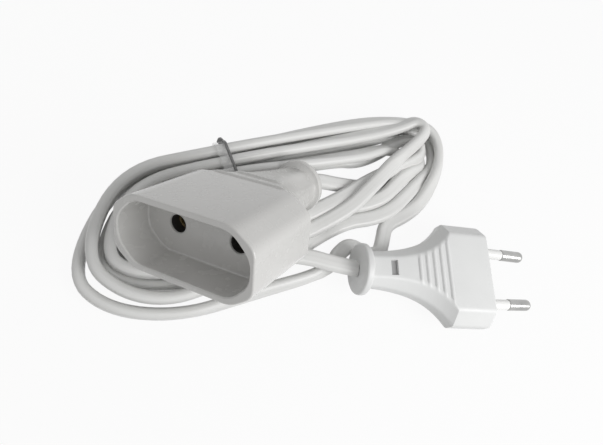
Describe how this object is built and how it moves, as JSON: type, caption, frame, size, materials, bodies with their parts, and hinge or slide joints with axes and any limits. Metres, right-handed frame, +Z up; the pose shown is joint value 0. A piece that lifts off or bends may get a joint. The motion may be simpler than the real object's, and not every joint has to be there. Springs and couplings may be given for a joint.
{
  "type": "extension cord",
  "caption": "Flat white extension cord put away as a tied hank, with a flat two-pin plug and a matching two-hole coupler.",
  "frame": {"origin": "middle of the plug's footprint, on the surface that the cord lies on", "axes": "+X out of the plug along its pins, +Z up off the plug's broad face, +Y to the left pin"},
  "size_m": [0.151, 0.0808, 0.0537],
  "materials": {
    "plug_shell": "satin",
    "bridge_resin": "matte",
    "pin_metal": "polished",
    "pin_sleeve": "satin",
    "coupler_shell": "satin",
    "coupler_resin": "satin",
    "contact_brass": "satin",
    "cord_sheath": "satin",
    "core_brown": "matte",
    "core_blue": "matte",
    "copper": "satin",
    "tie": "glossy"
  },
  "bodies": {
    "root": {"plug_body": "plug_shell", "plug_bridge": "bridge_resin", "plug_pin_left": "pin_metal", "plug_pin_right": "pin_metal", "plug_sleeve_left": "pin_sleeve", "plug_sleeve_right": "pin_sleeve", "plug_core_brown": "core_brown", "plug_core_blue": "core_blue", "plug_strands_brown": "copper", "plug_strands_blue": "copper", "coupler_body": "coupler_shell", "coupler_contact_block": "coupler_resin", "coupler_contact_left": "contact_brass", "coupler_contact_right": "contact_brass", "coupler_core_brown": "core_brown", "coupler_core_blue": "core_blue", "coupler_strands_brown": "copper", "coupler_strands_blue": "copper", "plug_lead": "cord_sheath", "cord_hank": "cord_sheath", "coupler_lead": "cord_sheath", "tie_band": "tie", "tie_twist": "tie"}
  },
  "joints": []
}
